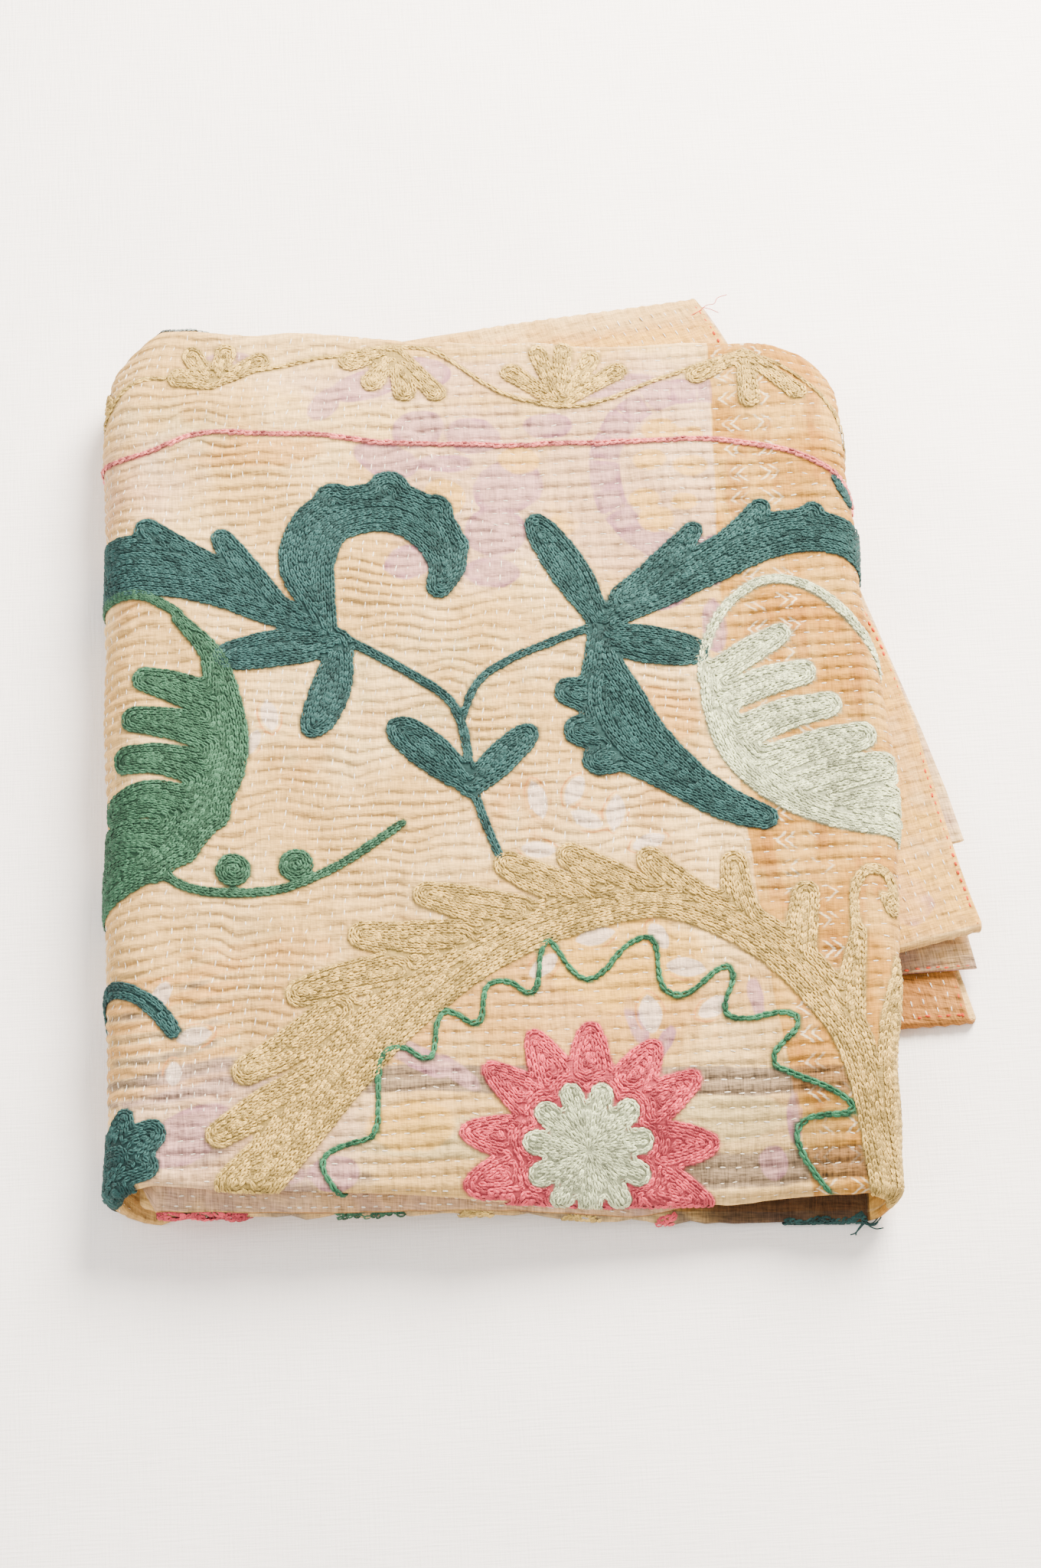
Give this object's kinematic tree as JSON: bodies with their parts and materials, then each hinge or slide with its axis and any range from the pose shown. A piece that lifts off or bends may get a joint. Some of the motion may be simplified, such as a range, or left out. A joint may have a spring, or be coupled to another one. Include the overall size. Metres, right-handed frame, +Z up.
{
  "type": "folded kantha quilt",
  "caption": "Thin hand-quilted cotton throw with crewel flowers, folded into a loose flat bundle with its hemmed ends fanned out on one side.",
  "frame": {"origin": "middle of the bounding box in X and Y, on the plane that the bundle rests on", "axes": "+Z up through the layers; +Y from the front fold of the bundle to its back; +X from the wide loop to the hemmed ends"},
  "size_m": [0.4202, 0.4926, 0.0498],
  "materials": {
    "washed_cotton": "soft matte washed cotton, quilted with running stitch"
  },
  "bodies": {
    "root": {"quilt": "washed_cotton"}
  },
  "joints": []
}
